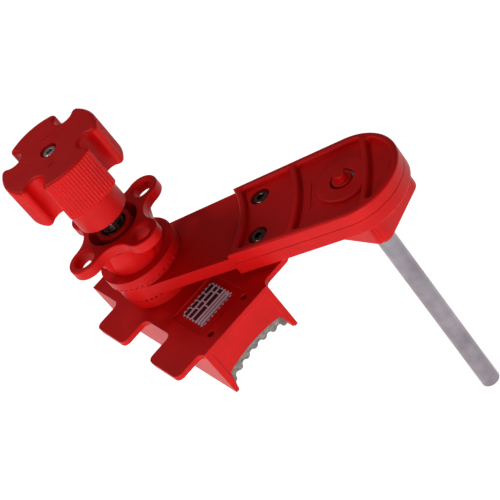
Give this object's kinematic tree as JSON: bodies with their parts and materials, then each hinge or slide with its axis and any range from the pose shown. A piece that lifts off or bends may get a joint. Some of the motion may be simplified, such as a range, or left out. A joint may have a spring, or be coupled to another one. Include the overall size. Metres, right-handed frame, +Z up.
{
  "type": "universal valve lockout",
  "caption": "Clamp-on valve lockout: a red clamp with toothed jaws, a lobed screw knob, an eared padlock collar and a swinging blocking arm with a steel rod",
  "frame": {"origin": "on the spindle's axis, level with the top face of the base plate", "axes": "+Z up the spindle to the knob, +X along the base to its toothed end, +Y across the base"},
  "size_m": [0.1476, 0.1506, 0.2259],
  "materials": {
    "red_nylon": "moulded nylon, satin gloss",
    "bright_steel": "ground and plated",
    "stamped_steel": "stamped, zinc plated, dull",
    "black_oxide_steel": "black oxide, oiled",
    "label_film": "printed film"
  },
  "bodies": {
    "base": {"clamp_body": "red_nylon", "label": "label_film", "thread_insert": "bright_steel", "fixed_jaw": "red_nylon", "fixed_jaw_plate": "stamped_steel", "foot_screws": "bright_steel", "spine_screws": "bright_steel"},
    "jaw": {"jaw_carrier": "red_nylon", "front_jaw_plate": "stamped_steel", "rear_jaw_plate": "stamped_steel", "jaw_plate_screws": "bright_steel"},
    "knob": {"knob": "red_nylon", "knob_screw": "bright_steel", "spindle": "black_oxide_steel", "spindle_clip": "bright_steel"},
    "collar": {"locking_collar": "red_nylon"},
    "arm": {"arm_lever": "red_nylon", "arm_housing": "red_nylon", "arm_bolts": "black_oxide_steel", "arm_nuts": "bright_steel"},
    "carrier": {"rod_carrier": "red_nylon", "blocking_rod": "bright_steel", "carrier_clip": "bright_steel"}
  },
  "joints": [
    {"name": "jaw_slide", "type": "slide", "parent": "base", "child": "jaw", "axis": [0, 0, 1], "range_m": [-0.01605, 0]},
    {"name": "knob_turn", "type": "hinge", "parent": "jaw", "child": "knob", "pos_m": [0, 0, 0.085], "axis": [0, 0, 1], "range_deg": [-1440, 0]},
    {"name": "collar_turn", "type": "hinge", "parent": "base", "child": "collar", "pos_m": [0, 0, 0.03], "axis": [0, 0, 1], "range_deg": [0, 180]},
    {"name": "arm_swing", "type": "hinge", "parent": "base", "child": "arm", "pos_m": [0, 0, 0.011], "axis": [0, 0, 1], "continuous": true},
    {"name": "rod_swivel", "type": "hinge", "parent": "arm", "child": "carrier", "pos_m": [0.07793, 0.08183, 0.0027], "axis": [0, 0, 1], "continuous": true}
  ],
  "couplings": [
    {"joint": "jaw_slide", "follows": "knob_turn", "m_per_rad": 0.00063662}
  ]
}
